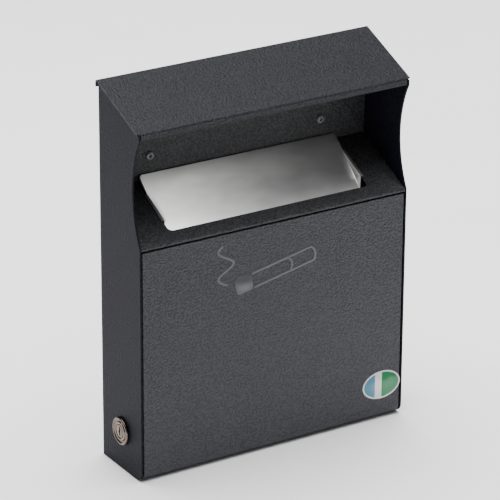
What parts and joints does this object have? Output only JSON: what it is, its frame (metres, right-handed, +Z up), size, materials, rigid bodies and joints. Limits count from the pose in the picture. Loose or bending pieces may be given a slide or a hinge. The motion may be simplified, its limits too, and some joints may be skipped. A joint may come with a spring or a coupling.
{
  "type": "wall-mounted ashtray bin",
  "caption": "Wall-mounted sheet-metal ashtray bin with sloping roof, stub-out plate over a drop slot, top-hinged front door, cam lock and inner collector.",
  "frame": {"origin": "middle of the back panel's wall face", "axes": "+Z up, +Y into the wall, the front faces -Y"},
  "size_m": [0.272, 0.0703, 0.345],
  "materials": {
    "powder_coat": "fine-textured anthracite powder coat",
    "ledge_coat": "fine-textured anthracite powder coat",
    "stainless": "fine brushed stainless sheet",
    "zinc": "zinc-plated steel",
    "rivet_alloy": "painted blind rivet",
    "lock_nickel": "dull nickel plate",
    "galvanised": "galvanised sheet",
    "print_grey": "matt film",
    "label_film": "satin film"
  },
  "bodies": {
    "housing": {"shell": "powder_coat", "canopy": "powder_coat", "floor_plate": "powder_coat", "ledge": "ledge_coat", "stub_plate": "stainless", "hinge_rod": "zinc", "hinge_bracket_left": "zinc", "hinge_bracket_right": "zinc", "hinge_clip_left": "zinc", "hinge_clip_right": "zinc", "door_stop_left": "zinc", "door_stop_right": "zinc", "lock_nut": "zinc", "rivet_left": "rivet_alloy", "rivet_right": "rivet_alloy", "lock_housing": "lock_nickel", "collector": "galvanised"},
    "door": {"door": "powder_coat", "door_keeper": "zinc", "mark_tube": "print_grey", "mark_ember": "print_grey", "mark_smoke": "print_grey", "oval_label": "label_film"},
    "lock_rotor": {"lock_plug": "lock_nickel", "lock_cam": "zinc", "cam_screw": "zinc"}
  },
  "joints": [
    {"name": "door_hinge", "type": "hinge", "parent": "housing", "child": "door", "pos_m": [0, -0.0622, 0.0415], "axis": [-1, 0, 0], "range_deg": [0, 95]},
    {"name": "lock_turn", "type": "hinge", "parent": "housing", "child": "lock_rotor", "pos_m": [-0.125, -0.0352, -0.1289], "axis": [-1, 0, 0], "range_deg": [0, 90]}
  ]
}
